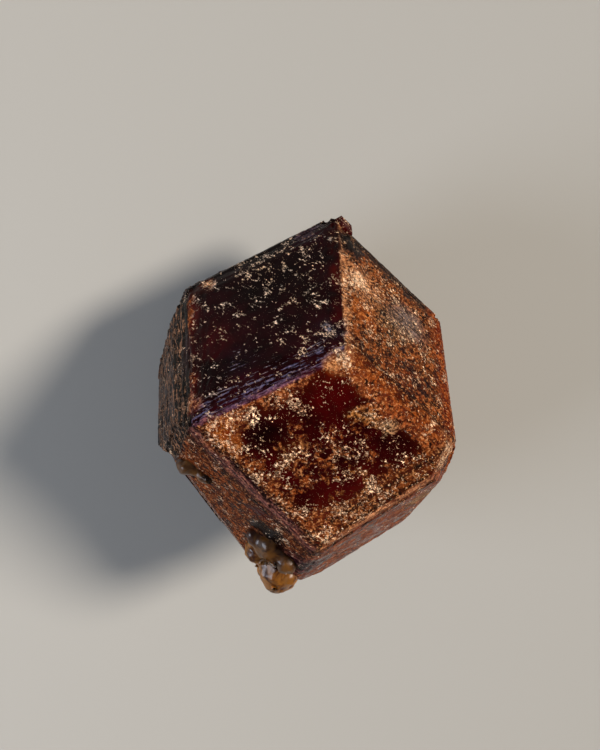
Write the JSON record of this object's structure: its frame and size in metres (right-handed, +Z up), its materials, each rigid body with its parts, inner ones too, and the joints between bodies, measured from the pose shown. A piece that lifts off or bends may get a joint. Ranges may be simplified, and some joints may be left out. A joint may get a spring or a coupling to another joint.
{
  "type": "garnet crystal",
  "caption": "Large dark red-brown garnet crystal, a rhombic dodecahedron with stepped, frosted faces and lumps of amber-brown quartz on one side.",
  "frame": {"origin": "middle of the bounding box at the level of the face that the crystal lies on", "axes": "+Z up out of the top face, which is opposite the face it lies on, +Y to the back tip, +X to the right face"},
  "size_m": [0.048, 0.0656, 0.0488],
  "materials": {
    "garnet": "vitreous dark red-brown stone, glassy where bare and matt under a frosty golden-brown crust",
    "amber_quartz": "rounded, half-clear amber-brown quartz with a wet-looking gloss"
  },
  "bodies": {
    "root": {"garnet_crystal": "garnet"}
  },
  "joints": []
}
